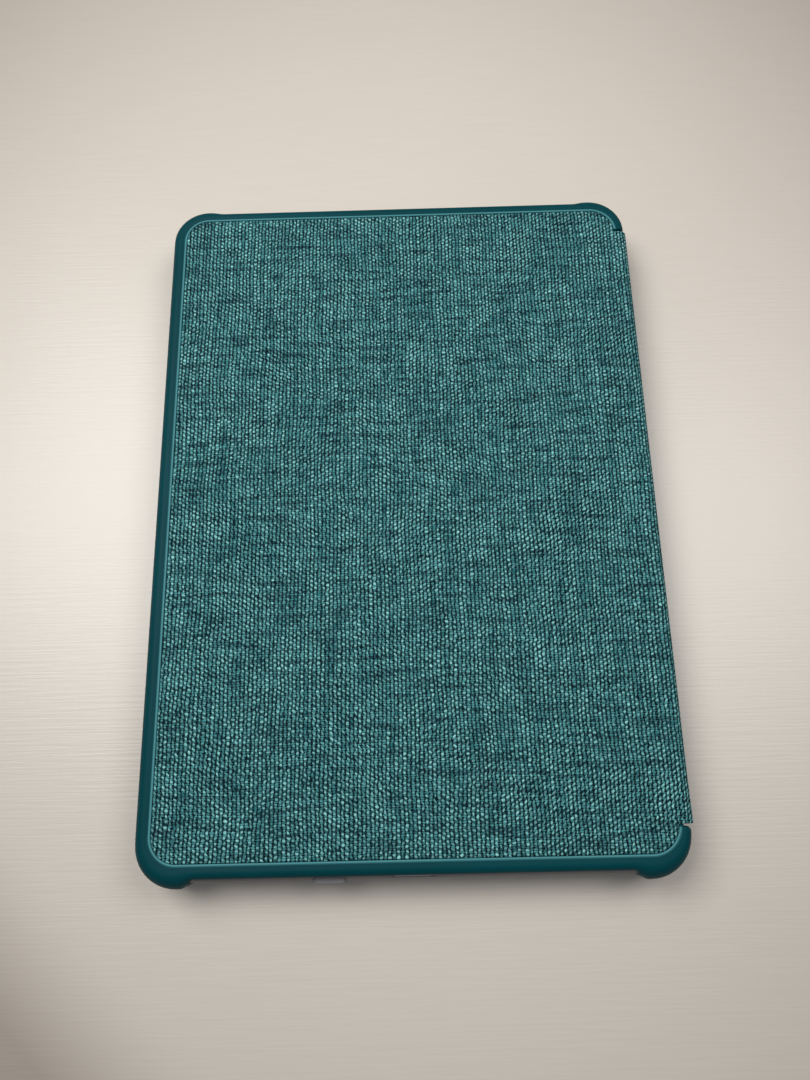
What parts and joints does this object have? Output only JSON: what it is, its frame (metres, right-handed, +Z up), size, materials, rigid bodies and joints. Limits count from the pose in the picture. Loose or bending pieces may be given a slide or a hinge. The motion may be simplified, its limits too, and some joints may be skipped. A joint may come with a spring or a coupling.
{
  "type": "e-reader in a folio cover",
  "caption": "E-reader held in a moulded tray with a woven folio cover, closed and lying screen down; the cover folds open on its spine.",
  "frame": {"origin": "centre of the bounding box's bottom face, on the surface the closed cover lies on", "axes": "+X towards the cover's spine, +Y towards the reader's top edge, +Z up out of the cover's back"},
  "size_m": [0.113, 0.16, 0.013],
  "materials": {
    "cover_fabric": "teal melange plain weave",
    "cover_lining": "soft grey microfibre",
    "cover_board": "dense grey board",
    "spine_strip": "thin flexible polypropylene strip",
    "tray_plastic": "dark teal, fine matt with a soft sheen",
    "magnet_metal": "nickel-plated magnet",
    "housing_plastic": "soft-touch charcoal",
    "button_plastic": "charcoal, slightly worn",
    "bezel_plastic": "fine-textured black",
    "display_paper": "electronic-paper panel, pale warm grey",
    "clear_film": "clear optical film",
    "flex_film": "amber polyimide",
    "seal_rubber": "black silicone",
    "chassis_metal": "cast magnesium, bead blasted",
    "cell_foil": "grey laminated foil pouch",
    "tape_white": "double-sided tape",
    "wire_red": "red insulated wire",
    "board_green": "green solder mask",
    "chip_black": "moulded epoxy",
    "shield_tin": "tin-plated stamping",
    "port_steel": "stainless port shell",
    "screw_steel": "zinc-plated",
    "light_pipe": "frosted clear acrylic",
    "led_white": "white strip with amber emitters"
  },
  "bodies": {
    "front_cover": {"flap_fabric": "cover_fabric", "flap_board": "cover_board", "flap_lining": "cover_lining", "flap_magnets": "magnet_metal", "wake_magnet": "magnet_metal"},
    "spine": {"spine_fabric": "cover_fabric", "spine_stiffener": "spine_strip", "spine_lining": "cover_lining"},
    "tray": {"tray_shell": "tray_plastic", "back_fabric": "cover_fabric", "reader_housing": "housing_plastic", "front_bezel": "bezel_plastic", "screen_gasket": "seal_rubber", "touch_sensor": "clear_film", "touch_flex": "flex_film", "light_guide": "clear_film", "led_strip": "led_white", "display_panel": "display_paper", "display_flex": "flex_film", "mid_frame": "chassis_metal", "catch_magnets": "magnet_metal", "battery": "cell_foil", "battery_tape": "tape_white", "battery_lead": "wire_red", "main_board": "board_green", "processor": "chip_black", "memory_chip": "chip_black", "power_chip": "chip_black", "radio_shield": "shield_tin", "radio_antenna": "flex_film", "hall_sensor": "chip_black", "usb_port": "port_steel", "power_switch": "shield_tin", "status_light_pipe": "light_pipe", "board_screws": "screw_steel", "frame_screws": "screw_steel"},
    "power_button": {"power_button": "button_plastic"}
  },
  "joints": [
    {"name": "cover_fold", "type": "hinge", "parent": "front_cover", "child": "spine", "pos_m": [0.0555, 0, 0.0012], "axis": [0, 1, 0], "range_deg": [0, 90]},
    {"name": "tray_fold", "type": "hinge", "parent": "spine", "child": "tray", "pos_m": [0.0555, 0, 0.012], "axis": [0, 1, 0], "range_deg": [0, 90]},
    {"name": "power_button_press", "type": "slide", "parent": "tray", "child": "power_button", "axis": [0, 1, 0], "range_m": [0, 0.0004], "stiffness_N_per_m": 3000}
  ],
  "couplings": [
    {"joint": "tray_fold", "follows": "cover_fold", "ratio": 1}
  ]
}
